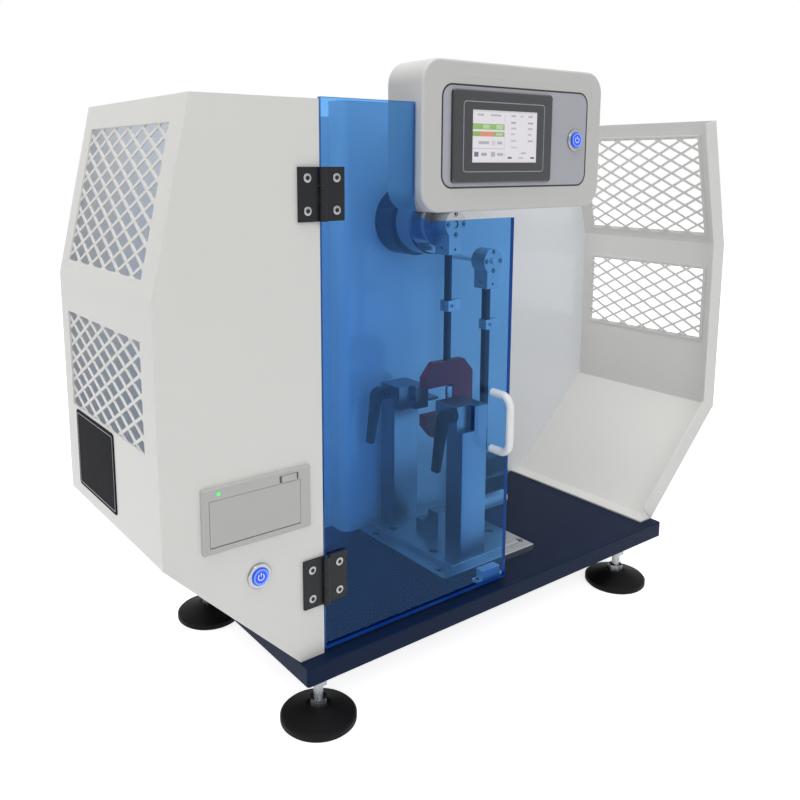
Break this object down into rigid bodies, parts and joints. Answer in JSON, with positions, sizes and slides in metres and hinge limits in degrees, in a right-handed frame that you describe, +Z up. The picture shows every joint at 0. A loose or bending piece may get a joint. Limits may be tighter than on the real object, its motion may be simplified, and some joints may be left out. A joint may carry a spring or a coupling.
{
  "type": "pendulum impact tester",
  "caption": "Bench pendulum impact tester with a guarded frame, clear door, swinging hammer, clamped specimen jaws, console and printer.",
  "frame": {"origin": "middle of the footprint on the bench, at the underside of the feet", "axes": "+Z up, +X to the right seen from the door's side, +Y to the back"},
  "size_m": [0.848, 0.327, 0.659],
  "materials": {
    "base_paint": "dark blue powder coat",
    "white_paint": "white powder coat",
    "panel_paint": "white gloss paint",
    "mesh_paint": "white powder coat",
    "pad_rubber": "moulded black rubber",
    "zinc": "bright zinc plate",
    "bright_steel": "ground steel",
    "black_oxide": "black oxide steel",
    "boss_paint": "dark blue paint",
    "hammer_paint": "dark red paint",
    "black_plastic": "black moulded plastic",
    "board": "green circuit board",
    "console_plastic": "light grey moulded plastic",
    "faceplate_film": "pale printed film",
    "screen_glass": "touch screen glass",
    "door_acrylic": "clear blue acrylic",
    "white_plastic": "white moulded plastic",
    "printer_plastic": "light grey moulded plastic",
    "button_metal": "polished steel",
    "button_cap": "lit blue cap",
    "paper": "white paper",
    "aluminium": "satin aluminium"
  },
  "bodies": {
    "frame": {"base_plate": "base_paint", "foot_lock_nuts": "zinc", "foot_pads": "pad_rubber", "left_guard": "white_paint", "right_guard": "white_paint", "back_panel": "panel_paint", "upper_meshes": "mesh_paint", "lower_meshes": "mesh_paint", "mains_inlet": "black_plastic", "column_housing": "panel_paint", "bearing_boss": "boss_paint", "spindle_bearings": "bright_steel", "rotary_encoder": "black_plastic", "controller_board": "board", "release_solenoid": "black_oxide", "bed_plate": "bright_steel", "platform": "bright_steel", "centring_block": "bright_steel", "support_posts": "bright_steel", "door_switch": "white_plastic", "hinge_frame_leaves": "black_oxide", "hinge_pins": "bright_steel", "console_housing": "console_plastic", "console_faceplate": "faceplate_film", "screen_bezel": "black_plastic", "screen_glass": "screen_glass", "console_arm": "panel_paint", "button_bezels": "button_metal", "printer_housing": "printer_plastic", "paper_roll": "paper", "spare_peg": "bright_steel", "spare_rest": "white_plastic"},
    "pendulum": {"spindle": "bright_steel", "pendulum_hub": "bright_steel", "pendulum_head": "aluminium", "pendulum_rod": "black_oxide", "catch_collar": "aluminium", "hammer": "hammer_paint", "striker": "bright_steel"},
    "hook": {"release_hook": "bright_steel"},
    "spare_pendulum": {"spare_head": "aluminium", "spare_rod": "black_oxide", "spare_collar": "aluminium", "spare_hammer": "black_oxide", "spare_blade": "bright_steel"},
    "front_jaw": {"front_jaw": "bright_steel"},
    "rear_jaw": {"rear_jaw": "bright_steel"},
    "front_lever": {"front_lever": "black_plastic"},
    "rear_lever": {"rear_lever": "black_plastic"},
    "door": {"door_panel": "door_acrylic", "door_handle": "white_plastic", "hinge_door_leaves": "black_oxide"},
    "power_button": {"power_button": "button_cap"},
    "console_button": {"console_button": "button_cap"},
    "printer_lid": {"printer_lid": "printer_plastic"},
    "printer_latch": {"printer_latch": "black_plastic"},
    "foot_1": {"foot_stud_1": "zinc"},
    "foot_2": {"foot_stud_2": "zinc"},
    "foot_3": {"foot_stud_3": "zinc"},
    "foot_4": {"foot_stud_4": "zinc"}
  },
  "joints": [
    {"name": "pendulum_swing", "type": "hinge", "parent": "frame", "child": "pendulum", "pos_m": [0.011, 0, 0.4825], "axis": [0, 1, 0], "range_deg": [-160, 160]},
    {"name": "hook_turn", "type": "hinge", "parent": "frame", "child": "hook", "pos_m": [0.09, 0, 0.554], "axis": [0, 1, 0], "range_deg": [-28, 0], "stiffness_Nm_per_rad": 0.2, "springref_deg": 17.19},
    {"name": "spare_pendulum_swing", "type": "hinge", "parent": "frame", "child": "spare_pendulum", "pos_m": [0.119, 0.0425, 0.4258], "axis": [0, 1, 0], "range_deg": [-6, 6]},
    {"name": "front_jaw_slide", "type": "slide", "parent": "frame", "child": "front_jaw", "axis": [0, 1, 0], "range_m": [-0.01, 0.011]},
    {"name": "rear_jaw_slide", "type": "slide", "parent": "frame", "child": "rear_jaw", "axis": [0, -1, 0], "range_m": [-0.01, 0.011]},
    {"name": "front_lever_turn", "type": "hinge", "parent": "front_jaw", "child": "front_lever", "pos_m": [-0.04, -0.065, 0.262], "axis": [1, 0, 0], "range_deg": [-30, 40]},
    {"name": "rear_lever_turn", "type": "hinge", "parent": "rear_jaw", "child": "rear_lever", "pos_m": [-0.04, 0.065, 0.262], "axis": [1, 0, 0], "range_deg": [-40, 20]},
    {"name": "door_swing", "type": "hinge", "parent": "frame", "child": "door", "pos_m": [-0.257, -0.1269, 0.338], "axis": [0, 0, -1], "range_deg": [0, 115]},
    {"name": "power_button_press", "type": "slide", "parent": "frame", "child": "power_button", "axis": [0, 1, 0], "range_m": [0, 0.0025], "stiffness_N_per_m": 400, "springref_m": -0.002},
    {"name": "console_button_press", "type": "slide", "parent": "frame", "child": "console_button", "axis": [0, 1, 0], "range_m": [0, 0.0025], "stiffness_N_per_m": 400, "springref_m": -0.002},
    {"name": "printer_lid_turn", "type": "hinge", "parent": "frame", "child": "printer_lid", "pos_m": [-0.333, -0.125, 0.2175], "axis": [1, 0, 0], "range_deg": [0, 90]},
    {"name": "printer_latch_slide", "type": "slide", "parent": "frame", "child": "printer_latch", "axis": [-1, 0, 0], "range_m": [0, 0.002], "stiffness_N_per_m": 150, "springref_m": -0.001},
    {"name": "foot_1_turn", "type": "hinge", "parent": "frame", "child": "foot_1", "pos_m": [-0.267, -0.1245, 0.03], "axis": [0, 0, 1], "range_deg": [-180, 180]},
    {"name": "foot_2_turn", "type": "hinge", "parent": "frame", "child": "foot_2", "pos_m": [-0.267, 0.1245, 0.03], "axis": [0, 0, 1], "range_deg": [-180, 180]},
    {"name": "foot_3_turn", "type": "hinge", "parent": "frame", "child": "foot_3", "pos_m": [0.208, -0.1245, 0.03], "axis": [0, 0, 1], "range_deg": [-180, 180]},
    {"name": "foot_4_turn", "type": "hinge", "parent": "frame", "child": "foot_4", "pos_m": [0.208, 0.1245, 0.03], "axis": [0, 0, 1], "range_deg": [-180, 180]}
  ]
}
